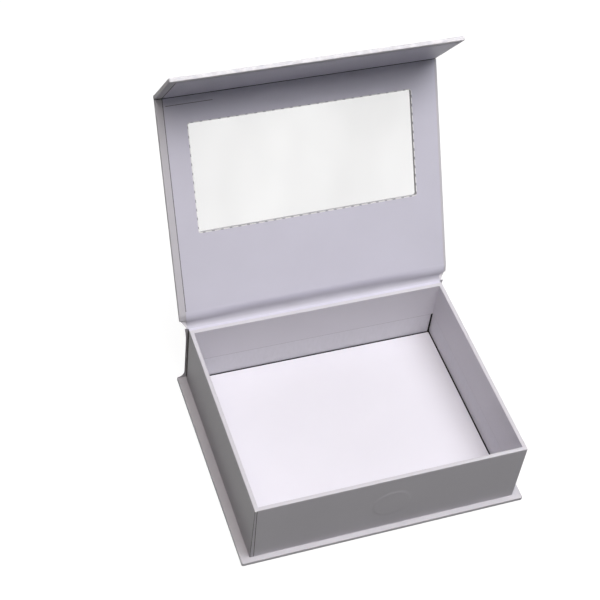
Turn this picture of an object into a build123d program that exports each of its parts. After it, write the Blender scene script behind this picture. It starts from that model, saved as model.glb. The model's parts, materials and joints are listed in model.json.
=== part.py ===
from build123d import *
from math import cos, radians, sin
import os

# Book-style rigid gift box for jewelry: a wrapped board tray glued into a wrapped case.
# The case is one sheet over base, spine, windowed lid and magnetic front flap.
# Origin: centre of the base's underside. +X right, +Y to the hinge, +Z up. Millimetres.
# It stands open here: the lid leans back and the flap hangs forward from its free edge.

# Driving dimensions: materials
BOARD = 2.0  # greyboard
PAPER = 0.15  # one ply of wrap or liner paper, and the window film
CARD = 0.5  # loose floor card
TAPE = 0.1  # corner stay tape

# Driving dimensions: tray
TRAY_WIDTH = 150.0
TRAY_DEPTH = 121.5
RIM_HEIGHT = 44.7  # above the table
RIM_TURN_IN = 24.0  # wrap turned over the rim and down the inside
UNDER_TURN_IN = 15.0  # wrap turned under the tray
STAY_LEG = 14.0
CORNER_GAP = 1.2  # the rear wall's board stops short of the right one
FLOOR_GAP = 0.8  # floor board and card to right wall and rear wall
CARD_TOUCH_GAP = 0.2  # floor card to left wall and front wall

# Driving dimensions: case
BASE_WIDTH = 160.0
BASE_DEPTH = 127.5
LID_WIDTH = 158.4
LID_LENGTH = 126.3  # inner face, from the hinge edge to the flap's crease
FLAP_LENGTH = 42.4
CASE_TURN_IN = 9.0  # wrap turned over the edges of lid, flap and base
LINER_INSET = 3.8  # strip of wrap left showing round the liner
BOARD_CORNER = 0.8  # rounding of the base's corners and the flap's free corners
SPINE_BOTTOM = 3.3
SPINE_TOP = 44.0
SPINE_LINER_LENGTH = 20.0
HINGE_GAP = 2.5  # unstiffened strip between the lid's hinge edge and its board
EASED_LENGTH = 4.2  # bevel on the inner side of the lid board's hinge edge
EASED_DEPTH = 1.7
CREASE_GAP = 0.3  # board setback on each side of the flap's crease

# Driving dimensions: window and magnets
WINDOW_WIDTH = 126.0
WINDOW_HEIGHT = 60.0
WINDOW_START = 51.3  # hinge edge to window
FILM_LAP = 6.0  # film glued behind the window's border
MAGNET_DIAMETER = 20.0
MAGNET_THICKNESS = 1.0
MAGNET_X = 1.2
WALL_MAGNET_HEIGHT = 23.0

# Pose and hinge line
LID_OPENING = 119.6  # degrees, lid to its closed place
FLAP_OPENING = 111.7  # degrees, flap to lid; 90 is closed
LID_CLEARANCE = 0.3  # closed lid to rim
HINGE_BEHIND_TRAY = 3.75
HINGE_DEPTH = 0.85  # hinge line below the lid's inner face
HINGE_SETBACK = 0.45  # hinge line to the lid's hinge edge

# Worked out
PANEL = BOARD + 3 * PAPER  # lid and flap: wrap, board, turn-in, liner
BASE_TOP = BOARD + 2 * PAPER
TRAY_BOTTOM = BASE_TOP + PAPER  # underside of the tray's boards
BOARD_TOP = RIM_HEIGHT - PAPER
WALL_HEIGHT = BOARD_TOP - TRAY_BOTTOM
OUTER_X = TRAY_WIDTH / 2 - PAPER  # outer faces of the wall boards
OUTER_Y = TRAY_DEPTH / 2 - PAPER
INNER_X = OUTER_X - BOARD
INNER_Y = OUTER_Y - BOARD
FLOOR_TOP = TRAY_BOTTOM + BOARD
SPINE_FRONT = TRAY_DEPTH / 2 + PAPER
SPINE_BACK = SPINE_FRONT + BOARD
HINGE_Y = TRAY_DEPTH / 2 + HINGE_BEHIND_TRAY
HINGE_Z = RIM_HEIGHT + LID_CLEARANCE + HINGE_DEPTH
LID_ANGLE = radians(180 - LID_OPENING)
FLAP_ANGLE = LID_ANGLE + radians(180 - FLAP_OPENING)
BOARD_LEVEL = -2 * PAPER  # inner face of the lid's and flap's boards
LID_INNER_WIDTH = LID_WIDTH - 2 * PAPER
BOARD_END = LID_LENGTH - CREASE_GAP
WINDOW_END = WINDOW_START + WINDOW_HEIGHT
# The closed flap's inner face is FLAP_MAGNET below the lid's, level with the wall's magnet.
FLAP_MAGNET = RIM_HEIGHT + LID_CLEARANCE - WALL_MAGNET_HEIGHT


def along(angle, length):
    """A step along a panel that rises at this angle from +Y, as (y, z)."""
    return Vector(cos(angle), sin(angle)) * length


def inward(angle, length):
    """A step off that panel towards its inner face, as (y, z)."""
    return Vector(-sin(angle), cos(angle)) * length


HINGE = Vector(HINGE_Y, HINGE_Z)
LID_EDGE = HINGE - along(LID_ANGLE, HINGE_SETBACK) + inward(LID_ANGLE, HINGE_DEPTH)
CREASE = LID_EDGE + along(LID_ANGLE, LID_LENGTH)


def lid_point(distance, level):
    """(y, z) at a distance from the lid's hinge edge, level above its inner face."""
    place = LID_EDGE + along(LID_ANGLE, distance) + inward(LID_ANGLE, level)
    return (place.X, place.Y)


def flap_point(distance, level):
    """(y, z) at a distance from the crease, level above the flap's inner face."""
    place = CREASE + along(FLAP_ANGLE, distance) + inward(FLAP_ANGLE, level)
    return (place.X, place.Y)


def panel_plane(edge, angle):
    """Inner face of a panel: local x is +X, local y runs away from its hinged edge."""
    facing = inward(angle, 1)
    return Plane(
        origin=(0, edge.X, edge.Y), x_dir=(1, 0, 0), z_dir=(0, facing.X, facing.Y)
    )


LID = panel_plane(LID_EDGE, LID_ANGLE)
FLAP = panel_plane(CREASE, FLAP_ANGLE)
SPINE = Plane(origin=(0, SPINE_BACK + PAPER, 0), x_dir=(1, 0, 0), z_dir=(0, -1, 0))
TRAY_FRONT = Plane(origin=(0, -OUTER_Y, 0), x_dir=(1, 0, 0), z_dir=(0, -1, 0))


def layer(plane, width, start, end, level, thickness=PAPER, mode=Mode.ADD):
    """A flat layer in the part being built, centred on the plane's local y axis.

    It runs from start to end along that axis, with its upper face at level.
    """
    with BuildSketch(plane.offset(level)) as outline:
        with Locations((0, (start + end) / 2)):
            Rectangle(width, end - start)
    extrude(outline.sketch, amount=-thickness, mode=mode)


def post(x, y, width, depth, bottom, top, mode=Mode.ADD):
    """An upright block in the part being built, centred on (x, y)."""
    with BuildSketch(Plane.XY.offset(bottom)) as outline:
        with Locations((x, y)):
            Rectangle(width, depth)
    extrude(outline.sketch, amount=top - bottom, mode=mode)


def disc(plane, x, y, level, mode=Mode.ADD):
    """A magnet, or its pocket, let into a plane with its upper face at level."""
    with BuildSketch(plane.offset(level)) as outline:
        with Locations((x, y)):
            Circle(MAGNET_DIAMETER / 2)
    extrude(outline.sketch, amount=-MAGNET_THICKNESS, mode=mode)


def finish(piece, name):
    """Names a finished piece and writes it."""
    piece.part.label = name
    export_step(piece.part, f"parts/{name}.step")


os.makedirs("parts", exist_ok=True)

# --- Case: base and spine ---

with BuildPart() as base_board:
    post(0, 0, BASE_WIDTH - 2 * PAPER, BASE_DEPTH - 2 * PAPER, PAPER, PAPER + BOARD)
    fillet(base_board.edges().filter_by(Axis.Z), BOARD_CORNER)
finish(base_board, "base_board")

# The wrap covers the underside and edges, and is turned in over the top.
with BuildPart() as base_wrap:
    post(0, 0, BASE_WIDTH, BASE_DEPTH, 0, BASE_TOP)
    fillet(base_wrap.edges().filter_by(Axis.Z), BOARD_CORNER + PAPER)
    add(base_board.part, mode=Mode.SUBTRACT)
    post(
        0,
        0,
        BASE_WIDTH - 2 * CASE_TURN_IN,
        BASE_DEPTH - 2 * CASE_TURN_IN,
        PAPER + BOARD,
        BASE_TOP,
        Mode.SUBTRACT,
    )
finish(base_wrap, "base_wrap")

with BuildPart() as spine_board:
    post(
        0,
        SPINE_FRONT + BOARD / 2,
        TRAY_WIDTH - 2 * PAPER,
        BOARD,
        SPINE_BOTTOM,
        SPINE_TOP,
    )
finish(spine_board, "spine_board")

# Behind the spine the wrap is as wide as the tray, and flares out to the wider base
# below it and to the wider lid above it.
FLARE_BOTTOM = (BASE_WIDTH / 2 - PAPER, BASE_TOP)
FLARE_TOP = (LID_WIDTH / 2, SPINE_TOP + PAPER)
LOWER_FLARE_START = (TRAY_WIDTH / 2, 7.15)
UPPER_FLARE_START = (TRAY_WIDTH / 2, 32.5)
with BuildPart() as spine_wrap:
    with BuildSketch(SPINE):
        with BuildLine():
            Line((0, BASE_TOP), FLARE_BOTTOM)
            TangentArc(LOWER_FLARE_START, FLARE_BOTTOM, tangent=(0, -1))
            Line(LOWER_FLARE_START, UPPER_FLARE_START)
            TangentArc(UPPER_FLARE_START, FLARE_TOP, tangent=(0, 1))
            Line(FLARE_TOP, (0, FLARE_TOP[1]))
            Line((0, FLARE_TOP[1]), (0, BASE_TOP))
        make_face()
        mirror(about=Plane.YZ)
    extrude(amount=PAPER)
finish(spine_wrap, "spine_wrap")

# The liner's tail is glued between the tray and the spine, and covers the spine's top.
with BuildPart() as spine_liner:
    post(
        0,
        SPINE_FRONT - PAPER / 2,
        TRAY_WIDTH - 2 * PAPER,
        PAPER,
        SPINE_TOP - SPINE_LINER_LENGTH,
        SPINE_TOP,
    )
    post(
        0,
        SPINE_BACK - (BOARD + PAPER) / 2,
        TRAY_WIDTH - 2 * PAPER,
        BOARD + PAPER,
        SPINE_TOP,
        SPINE_TOP + PAPER,
    )
finish(spine_liner, "spine_liner")

# --- Case: lid ---


def cut_window(level, thickness, border=0.0):
    """Cuts the window through a layer of the lid, larger all round by border."""
    layer(
        LID,
        WINDOW_WIDTH + 2 * border,
        WINDOW_START - border,
        WINDOW_END + border,
        level,
        thickness,
        Mode.SUBTRACT,
    )


with BuildPart() as lid_blank:
    layer(LID, LID_INNER_WIDTH, HINGE_GAP, BOARD_END, BOARD_LEVEL, BOARD)
    cut_window(BOARD_LEVEL, BOARD, border=PAPER)

# The board's hinge edge is eased, so that the liner can roll down into the hinge.
with BuildPart() as lid_board:
    add(lid_blank.part)
    with BuildSketch(Plane.YZ):
        with BuildLine():
            Polyline(
                lid_point(HINGE_GAP + EASED_LENGTH, BOARD_LEVEL),
                lid_point(HINGE_GAP, BOARD_LEVEL),
                lid_point(HINGE_GAP, BOARD_LEVEL - EASED_DEPTH),
                close=True,
            )
        make_face()
    extrude(amount=LID_WIDTH / 2, both=True, mode=Mode.SUBTRACT)
finish(lid_board, "lid_board")

# Outer face, side edges, side turn-ins and the lining of the window's cut edges.
with BuildPart() as lid_wrap:
    layer(LID, LID_WIDTH, HINGE_GAP, BOARD_END, -PAPER, PANEL - PAPER)
    add(lid_blank.part, mode=Mode.SUBTRACT)
    layer(
        LID,
        LID_WIDTH - 2 * CASE_TURN_IN,
        HINGE_GAP,
        BOARD_END,
        -PAPER,
        PAPER,
        Mode.SUBTRACT,
    )
    cut_window(-PAPER, PANEL)
finish(lid_wrap, "lid_wrap")

with BuildPart() as window_film:
    layer(
        LID,
        WINDOW_WIDTH + 2 * FILM_LAP,
        WINDOW_START - FILM_LAP,
        WINDOW_END + FILM_LAP,
        -PAPER,
    )
finish(window_film, "window_film")

with BuildPart() as lid_liner:
    layer(LID, LID_WIDTH - 2 * LINER_INSET, HINGE_GAP, BOARD_END, 0)
    cut_window(0, PAPER)
finish(lid_liner, "lid_liner")

# --- Case: flap ---


def free_corners(piece):
    """The two corner edges at the flap's free end, across its thickness."""
    across = piece.edges().filter_by(Axis((0, 0, 0), FLAP.z_dir))
    return across.sort_by(Axis.Z)[-2:]


with BuildPart() as flap_magnet:
    disc(FLAP, MAGNET_X, FLAP_MAGNET, BOARD_LEVEL)
finish(flap_magnet, "flap_magnet")

with BuildPart() as flap_board:
    layer(
        FLAP, LID_INNER_WIDTH, CREASE_GAP, FLAP_LENGTH - PAPER, BOARD_LEVEL, BOARD
    )
    fillet(free_corners(flap_board), BOARD_CORNER)
    disc(FLAP, MAGNET_X, FLAP_MAGNET, BOARD_LEVEL, Mode.SUBTRACT)
finish(flap_board, "flap_board")

with BuildPart() as flap_wrap:
    layer(FLAP, LID_WIDTH, CREASE_GAP, FLAP_LENGTH, -PAPER, PANEL - PAPER)
    fillet(free_corners(flap_wrap), BOARD_CORNER + PAPER)
    add(flap_board.part, mode=Mode.SUBTRACT)
    add(flap_magnet.part, mode=Mode.SUBTRACT)
    layer(
        FLAP,
        LID_WIDTH - 2 * CASE_TURN_IN,
        CREASE_GAP,
        FLAP_LENGTH - CASE_TURN_IN,
        -PAPER,
        PAPER,
        Mode.SUBTRACT,
    )
finish(flap_wrap, "flap_wrap")

with BuildPart() as flap_liner:
    layer(FLAP, LID_WIDTH - 2 * LINER_INSET, CREASE_GAP, FLAP_LENGTH - LINER_INSET, 0)
finish(flap_liner, "flap_liner")

# --- Case: paper joints at the hinge and at the crease ---

# The outer ply runs from the spine's top edge to the outer face of the lid.
with BuildPart() as lid_hinge_wrap:
    with BuildSketch(Plane.YZ):
        with BuildLine():
            Polyline(
                (SPINE_BACK, SPINE_TOP + PAPER),
                (SPINE_BACK + PAPER, SPINE_TOP + PAPER),
                lid_point(HINGE_GAP, -PANEL),
                lid_point(HINGE_GAP, PAPER - PANEL),
                close=True,
            )
        make_face()
    extrude(amount=LID_WIDTH / 2, both=True)
finish(lid_hinge_wrap, "lid_hinge_wrap")

# The inner ply leaves the spine's top, follows the outer one to a valley, and turns
# up to the lid's liner.
VALLEY_UPPER = (SPINE_BACK + 2.3, SPINE_TOP + 2.3)
VALLEY_LOWER = (SPINE_BACK + 2.46, SPINE_TOP + 2.28)
with BuildPart() as lid_hinge_liner:
    with BuildSketch(Plane.YZ):
        with BuildLine():
            Polyline(
                (SPINE_BACK - 0.35, SPINE_TOP + PAPER),
                VALLEY_UPPER,
                lid_point(HINGE_GAP, 0),
                lid_point(HINGE_GAP, -PAPER),
                VALLEY_LOWER,
                (SPINE_BACK - 0.15, SPINE_TOP + PAPER),
                close=True,
            )
        make_face()
    extrude(amount=LID_WIDTH / 2 - LINER_INSET, both=True)
finish(lid_hinge_liner, "lid_hinge_liner")


def round_crease(level):
    """Middle of the outer ply's arc about the crease, level below the inner faces."""
    middle = (LID_ANGLE + FLAP_ANGLE) / 2
    place = CREASE + inward(middle, level)
    return (place.X, place.Y)


with BuildPart() as flap_hinge_wrap:
    with BuildSketch(Plane.YZ):
        with BuildLine():
            Line(lid_point(BOARD_END, PAPER - PANEL), lid_point(BOARD_END, -PANEL))
            Line(lid_point(BOARD_END, -PANEL), lid_point(LID_LENGTH, -PANEL))
            ThreePointArc(
                lid_point(LID_LENGTH, -PANEL), round_crease(-PANEL), flap_point(0, -PANEL)
            )
            Line(flap_point(0, -PANEL), flap_point(CREASE_GAP, -PANEL))
            Line(flap_point(CREASE_GAP, -PANEL), flap_point(CREASE_GAP, PAPER - PANEL))
            Line(flap_point(CREASE_GAP, PAPER - PANEL), flap_point(0, PAPER - PANEL))
            ThreePointArc(
                flap_point(0, PAPER - PANEL),
                round_crease(PAPER - PANEL),
                lid_point(LID_LENGTH, PAPER - PANEL),
            )
            Line(
                lid_point(LID_LENGTH, PAPER - PANEL), lid_point(BOARD_END, PAPER - PANEL)
            )
        make_face()
    extrude(amount=LID_WIDTH / 2, both=True)
finish(flap_hinge_wrap, "flap_hinge_wrap")

# The liner's fold: its outer corner lies on the line that halves the crease's angle.
FOLD_DEPTH = PAPER / cos((FLAP_ANGLE - LID_ANGLE) / 2)
with BuildPart() as flap_hinge_liner:
    with BuildSketch(Plane.YZ):
        with BuildLine():
            Polyline(
                lid_point(BOARD_END, 0),
                (CREASE.X, CREASE.Y),
                flap_point(CREASE_GAP, 0),
                flap_point(CREASE_GAP, -PAPER),
                round_crease(-FOLD_DEPTH),
                lid_point(BOARD_END, -PAPER),
                close=True,
            )
        make_face()
    extrude(amount=LID_WIDTH / 2 - LINER_INSET, both=True)
finish(flap_hinge_liner, "flap_hinge_liner")

# --- Tray ---

CORNERS = {
    "front_left": (-1, -1),
    "front_right": (1, -1),
    "rear_left": (-1, 1),
    "rear_right": (1, 1),
}
stays = []
for place, (side, end) in CORNERS.items():
    with BuildPart() as stay:
        post(
            side * (OUTER_X - STAY_LEG / 2),
            end * (OUTER_Y - TAPE / 2),
            STAY_LEG,
            TAPE,
            TRAY_BOTTOM,
            BOARD_TOP,
        )
        post(
            side * (OUTER_X - TAPE / 2),
            end * (OUTER_Y - STAY_LEG / 2),
            TAPE,
            STAY_LEG,
            TRAY_BOTTOM,
            BOARD_TOP,
        )
    finish(stay, f"corner_stay_{place}")
    stays.append(stay.part)


def wall(x, y, width, depth):
    """A wall board in the part being built, pressed in at its ends under the tape."""
    post(x, y, width, depth, TRAY_BOTTOM, BOARD_TOP)
    add(stays, mode=Mode.SUBTRACT)


with BuildPart() as wall_magnet:
    disc(TRAY_FRONT, MAGNET_X, WALL_MAGNET_HEIGHT, 0)
finish(wall_magnet, "wall_magnet")

with BuildPart() as front_wall_board:
    wall(0, -(OUTER_Y - BOARD / 2), 2 * OUTER_X, BOARD)
    disc(TRAY_FRONT, MAGNET_X, WALL_MAGNET_HEIGHT, 0, Mode.SUBTRACT)
finish(front_wall_board, "front_wall_board")

with BuildPart() as rear_wall_board:
    wall(
        -(BOARD + CORNER_GAP) / 2,
        OUTER_Y - BOARD / 2,
        2 * OUTER_X - BOARD - CORNER_GAP,
        BOARD,
    )
finish(rear_wall_board, "rear_wall_board")

with BuildPart() as left_wall_board:
    wall(-(OUTER_X - BOARD / 2), 0, BOARD, 2 * INNER_Y)
finish(left_wall_board, "left_wall_board")

with BuildPart() as right_wall_board:
    wall(OUTER_X - BOARD / 2, BOARD / 2, BOARD, 2 * INNER_Y + BOARD)
finish(right_wall_board, "right_wall_board")

with BuildPart() as tray_floor_board:
    post(
        -FLOOR_GAP / 2,
        -FLOOR_GAP / 2,
        2 * INNER_X - FLOOR_GAP,
        2 * INNER_Y - FLOOR_GAP,
        TRAY_BOTTOM,
        FLOOR_TOP,
    )
finish(tray_floor_board, "tray_floor_board")

# One sheet: outer faces, over the rim, down the inside, and under the tray's edges.
with BuildPart() as tray_wrap:
    post(0, 0, TRAY_WIDTH, TRAY_DEPTH, BASE_TOP, RIM_HEIGHT)
    post(0, 0, 2 * OUTER_X, 2 * OUTER_Y, TRAY_BOTTOM, BOARD_TOP, Mode.SUBTRACT)
    post(
        0,
        0,
        TRAY_WIDTH - 2 * UNDER_TURN_IN,
        TRAY_DEPTH - 2 * UNDER_TURN_IN,
        BASE_TOP,
        TRAY_BOTTOM,
        Mode.SUBTRACT,
    )
    post(0, 0, 2 * INNER_X, 2 * INNER_Y, BOARD_TOP - RIM_TURN_IN, BOARD_TOP)
    post(
        0,
        0,
        2 * (INNER_X - PAPER),
        2 * (INNER_Y - PAPER),
        BOARD_TOP - RIM_TURN_IN,
        RIM_HEIGHT,
        Mode.SUBTRACT,
    )
finish(tray_wrap, "tray_wrap")

CARD_WIDTH = 2 * INNER_X - CARD_TOUCH_GAP - FLOOR_GAP
CARD_DEPTH = 2 * INNER_Y - CARD_TOUCH_GAP - FLOOR_GAP
CARD_SHIFT = (CARD_TOUCH_GAP - FLOOR_GAP) / 2
with BuildPart() as floor_card:
    post(CARD_SHIFT, CARD_SHIFT, CARD_WIDTH, CARD_DEPTH, FLOOR_TOP, FLOOR_TOP + CARD)
finish(floor_card, "floor_card")
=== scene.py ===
import json
from math import cos, radians, sin

import bmesh
import bpy
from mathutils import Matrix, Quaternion, Vector


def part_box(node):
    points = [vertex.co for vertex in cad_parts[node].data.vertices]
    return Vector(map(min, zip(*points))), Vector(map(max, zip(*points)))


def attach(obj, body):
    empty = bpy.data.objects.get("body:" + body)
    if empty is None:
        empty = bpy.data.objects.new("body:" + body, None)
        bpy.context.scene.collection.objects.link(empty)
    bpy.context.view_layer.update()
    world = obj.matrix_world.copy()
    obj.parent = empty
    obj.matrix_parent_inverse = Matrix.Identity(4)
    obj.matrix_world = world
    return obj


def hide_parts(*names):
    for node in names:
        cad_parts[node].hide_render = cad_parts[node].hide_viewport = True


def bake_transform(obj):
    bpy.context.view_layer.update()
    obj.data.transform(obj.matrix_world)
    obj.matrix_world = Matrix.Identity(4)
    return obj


# A book-style jewelry gift box, open: a paper-wrapped tray glued into a paper-wrapped case.
# Each piece of paper is modelled here as a folded sheet over the boards of the frame.
# Metres; origin at the centre of the base's underside, +X right, +Y to the hinge, +Z up.

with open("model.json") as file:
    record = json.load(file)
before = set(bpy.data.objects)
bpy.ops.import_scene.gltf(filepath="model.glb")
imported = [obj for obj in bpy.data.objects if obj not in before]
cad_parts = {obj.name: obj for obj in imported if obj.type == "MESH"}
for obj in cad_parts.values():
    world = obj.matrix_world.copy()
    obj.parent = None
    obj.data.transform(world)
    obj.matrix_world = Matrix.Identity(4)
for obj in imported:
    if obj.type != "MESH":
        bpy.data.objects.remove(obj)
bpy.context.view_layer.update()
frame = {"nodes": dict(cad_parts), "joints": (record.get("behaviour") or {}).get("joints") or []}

MM = 0.001
NEAR = 0.01 * MM  # places this near count as the same
CLOSE = 0.1 * MM

# Paper and board
PAPER = 0.15 * MM
BOARD = 2.0 * MM
FOLD = 0.42 * MM  # radius of the wrap where it is folded over a board's edge
CORNER = 0.95 * MM  # radius of the base's corners and of the flap's free corners
TURN_IN = 9.0 * MM  # wrap turned over the edges of base, lid and flap
LINER_INSET = 3.8 * MM  # wrap left showing beside the liner
LINER_SHIFT = 2.3 * MM  # how much further the liner reaches at its right side

# Tray
WALL = BOARD + 2 * PAPER
RIM_TURN_IN = 24.0 * MM
UNDER_TURN_IN = 15.0 * MM
TRAY_SIDE = 75.0 * MM
TRAY_FRONT = 60.75 * MM
MAGNET_X = 1.2 * MM
MAGNET_RADIUS = 10.2 * MM
MAGNET_RISE = 0.2 * MM  # how far a magnet lifts the paper over it
MAGNET_SLOPE = 0.35 * MM  # from the disc's edge to where the paper lies flat or high
DISC_FIELD = 13.0 * MM  # half the square that is divided finely round a magnet
DISC_CUTS = 52
MITRE_WIDTH = 0.16 * MM
MITRE_DEPTH = 0.12 * MM
LAP_WIDTH = 1.5 * MM  # of the sheet's end past the corner, at half height
LAP_MIDDLE = 20.0 * MM
LAP_SLANT = 0.022  # the lap's edge leans by this much per height
LAP_SHADOW = 0.4 * MM  # glue line beside the lap, darkened by painted shadow
HIGHLIGHT_REACH = 1.5 * MM  # how far the painted highlight reaches round the rim's front left corner
CARD_CORNER = 0.7 * MM
CARD_EDGE = 0.2 * MM
CARD_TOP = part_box("floor_card")[1].z
WELL_DEPTH = -2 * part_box("right_wall_board")[0].y  # front to rear, inside the tray

# Spine
BASE_FLARE = 4.85 * MM  # radius of the paper's flare down to the wider base
LID_FLARE_START = 33.0 * MM
LID_FLARE = 1.0 * MM  # how much wider the paper is at the spine's top
FLARE_STEPS = 8
GROOVE_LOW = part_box("spine_liner")[1].z  # foot of the groove along the lid's hinge
ARCH_REACH = 40.0 * MM  # how far in from its ends the groove arches

# Panels: distances run from the hinged edge, levels from the inner face
HINGE_SETBACK = 0.45 * MM
HINGE_DEPTH = 0.85 * MM
LID_TILT = radians(60.4)  # above +Y
FLAP_TILT = radians(128.7)
LID_WIDTH = 158.4 * MM
LID_START = 2.5 * MM
EASED_END = 6.7 * MM  # the board's eased hinge edge
EASED_DROP = 1.3 * MM
ROLL_START = 8.0 * MM  # where the liner begins to roll down into the hinge
LID_END = 126.0 * MM
FLAP_START = 0.3 * MM
FLAP_END = 42.4 * MM
PANEL = BOARD + 3 * PAPER
WINDOW_WIDTH = 126.0 * MM
WINDOW_START = 51.3 * MM
WINDOW_END = 111.3 * MM
WINDOW_MIDDLE = (WINDOW_START + WINDOW_END) / 2
WINDOW_CORNER = 1.1 * MM
WINDOW_FOLD = 0.3 * MM  # rounding of the wrap that lines the window's edges
CUT_EDGE = 0.45 * MM  # bruised white fibre round the window's perforated edge
NICK_SPACING = 2.5 * MM
CUT_RISE = 0.06 * MM
WRINKLE = 121.8 * MM
WRINKLE_WIDTH = 0.35 * MM
WRINKLE_DEPTH = 0.12 * MM
WRINKLE_ENDS = (1.5 * MM, 14.0 * MM, 27.0 * MM)  # from the liner's left edge
EDGE_WIDTH = 0.38 * MM  # the strip of painted shadow along the liner's left edge
FILM_LAP = 6.0 * MM
FILM_CORNER = 1.5 * MM
FLAP_MAGNET = 22.0 * MM

# Places in a piece's list of finishes
FOLDED, BACK, GLUE_SHADOW, CORNER_LIT = 1, 2, 3, 4
CUT, EDGE = 1, 2

PIVOT = {joint["name"]: Vector(joint["pos_m"]) for joint in frame["joints"]}
CREASE = PIVOT["flap_hinge"]
LID_ALONG = Vector((0, cos(LID_TILT), sin(LID_TILT)))
LID_INWARD = Vector((0, -sin(LID_TILT), cos(LID_TILT)))
FLAP_ALONG = Vector((0, cos(FLAP_TILT), sin(FLAP_TILT)))
FLAP_INWARD = Vector((0, -sin(FLAP_TILT), cos(FLAP_TILT)))
LID_EDGE = PIVOT["lid_hinge"] - LID_ALONG * HINGE_SETBACK + LID_INWARD * HINGE_DEPTH


def on_lid(distance, level):
    """A point of the lid's profile, as (y, z)."""
    place = LID_EDGE + LID_ALONG * distance + LID_INWARD * level
    return place.y, place.z


def on_flap(distance, level):
    """A point of the flap's profile, as (y, z)."""
    place = CREASE + FLAP_ALONG * distance + FLAP_INWARD * level
    return place.y, place.z


# ---------------------------------------------------------------- modelling


def block(name, low, high):
    """Starts a piece as a block between two corners, and opens it for editing."""
    low, high = Vector(low), Vector(high)
    bpy.ops.object.select_all(action="DESELECT")
    bpy.ops.mesh.primitive_cube_add(size=1, location=(low + high) / 2, scale=high - low)
    bpy.context.object.name = name
    bpy.ops.object.transform_apply(location=True, rotation=True, scale=True)
    bpy.ops.object.mode_set(mode="EDIT")


def strip(name, path):
    """Starts a piece as a band across the box, and opens it for editing.

    The path is a list of (half width, y, z), from the band's first edge to its last.
    """
    (width, y, z), (_, far_y, far_z) = path[:2]
    run = Vector((0, far_y - y, far_z - z))
    bpy.ops.object.select_all(action="DESELECT")
    bpy.ops.mesh.primitive_plane_add(
        size=1,
        location=Vector((0, y, z)) + run / 2,
        rotation=Vector((0, 1, 0)).rotation_difference(run).to_euler(),
    )
    band = bpy.context.object
    band.name = name
    band.scale = (2 * width, run.length, 1)
    bpy.ops.object.transform_apply(location=True, rotation=True, scale=True)
    bpy.ops.object.mode_set(mode="EDIT")
    far = Vector((0, far_y, far_z))
    pick_edges(lambda place, way: abs(way.x) > 0.5 and (place - far).length < 1e-6)
    for (width, y, z), (wide, next_y, next_z) in zip(path[1:], path[2:]):
        step = (0, next_y - y, next_z - z)
        bpy.ops.mesh.extrude_region_move(TRANSFORM_OT_translate={"value": step})
        bpy.ops.transform.resize(
            value=(wide / width, 1, 1), center_override=(0, next_y, next_z)
        )


def pick_faces(test):
    """Selects the faces whose middle and outward direction pass a test."""
    bpy.ops.mesh.select_mode(type="FACE")
    bpy.ops.mesh.select_all(action="DESELECT")
    shape = bmesh.from_edit_mesh(bpy.context.object.data)
    for face in shape.faces:
        face.select_set(bool(test(face.calc_center_median(), face.normal)))
    bmesh.update_edit_mesh(bpy.context.object.data)


def pick_edges(test):
    """Selects the edges whose middle and direction pass a test."""
    bpy.ops.mesh.select_mode(type="EDGE")
    bpy.ops.mesh.select_all(action="DESELECT")
    shape = bmesh.from_edit_mesh(bpy.context.object.data)
    for edge in shape.edges:
        first, last = (corner.co for corner in edge.verts)
        edge.select_set(bool(test((first + last) / 2, (last - first).normalized())))
    bmesh.update_edit_mesh(bpy.context.object.data)


def pick_upright_edges():
    """Selects the edges at the corners of a flat block."""
    pick_edges(lambda place, way: abs(way.z) > 0.9)


def pick_top():
    """Selects the faces turned up."""
    pick_faces(lambda place, facing: facing.z > 0.99)


def pick_points(test):
    """Selects the vertices whose place passes a test."""
    bpy.ops.mesh.select_mode(type="VERT")
    bpy.ops.mesh.select_all(action="DESELECT")
    shape = bmesh.from_edit_mesh(bpy.context.object.data)
    for point in shape.verts:
        point.select_set(bool(test(point.co)))
    bmesh.update_edit_mesh(bpy.context.object.data)


def paint(index, test):
    """Gives the faces that pass a test the finish at a place in the piece's list."""
    shape = bmesh.from_edit_mesh(bpy.context.object.data)
    for face in shape.faces:
        if test(face.calc_center_median(), face.normal):
            face.material_index = index
    bmesh.update_edit_mesh(bpy.context.object.data)


def split(place, direction):
    """Cuts the selected faces along a plane."""
    bpy.ops.mesh.bisect(plane_co=place, plane_no=direction)


def round_edges(radius, segments=3, material=-1):
    """Rounds the selected edges."""
    bpy.ops.mesh.bevel(
        offset=radius, segments=segments, affect="EDGES", material=material, clamp_overlap=True
    )


def use(kind, **settings):
    """Adds a modifier and applies it."""
    bpy.ops.object.mode_set(mode="OBJECT")
    modifier = bpy.context.object.modifiers.new(kind.lower(), kind)
    for name, value in settings.items():
        setattr(modifier, name, value)
    bpy.ops.object.modifier_apply(modifier=modifier.name)


def thicken(back=0):
    """Gives the open sheet its thickness, behind its outer face.

    Its inner side takes the finishes that stand this many places further in its list.
    """
    while back and len(bpy.context.object.data.materials) <= CORNER_LIT:
        bpy.context.object.data.materials.append(None)
    use(
        "SOLIDIFY",
        thickness=PAPER,
        offset=-1,
        use_even_offset=True,
        material_offset=back,
    )


def smooth(angle=radians(40)):
    """Shades rounded folds smooth and leaves flat faces flat."""
    bpy.ops.object.mode_set(mode="OBJECT")
    bpy.ops.object.shade_smooth_by_angle(angle=angle)
    use("WEIGHTED_NORMAL", keep_sharp=True)


def set_up(edge, tilt):
    """Puts a piece that was modelled lying flat in its panel's place."""
    bpy.ops.object.mode_set(mode="OBJECT")
    bpy.context.object.rotation_euler = (tilt, 0, 0)
    bpy.context.object.location = edge
    bpy.ops.object.transform_apply(location=True, rotation=True, scale=True)


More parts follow.
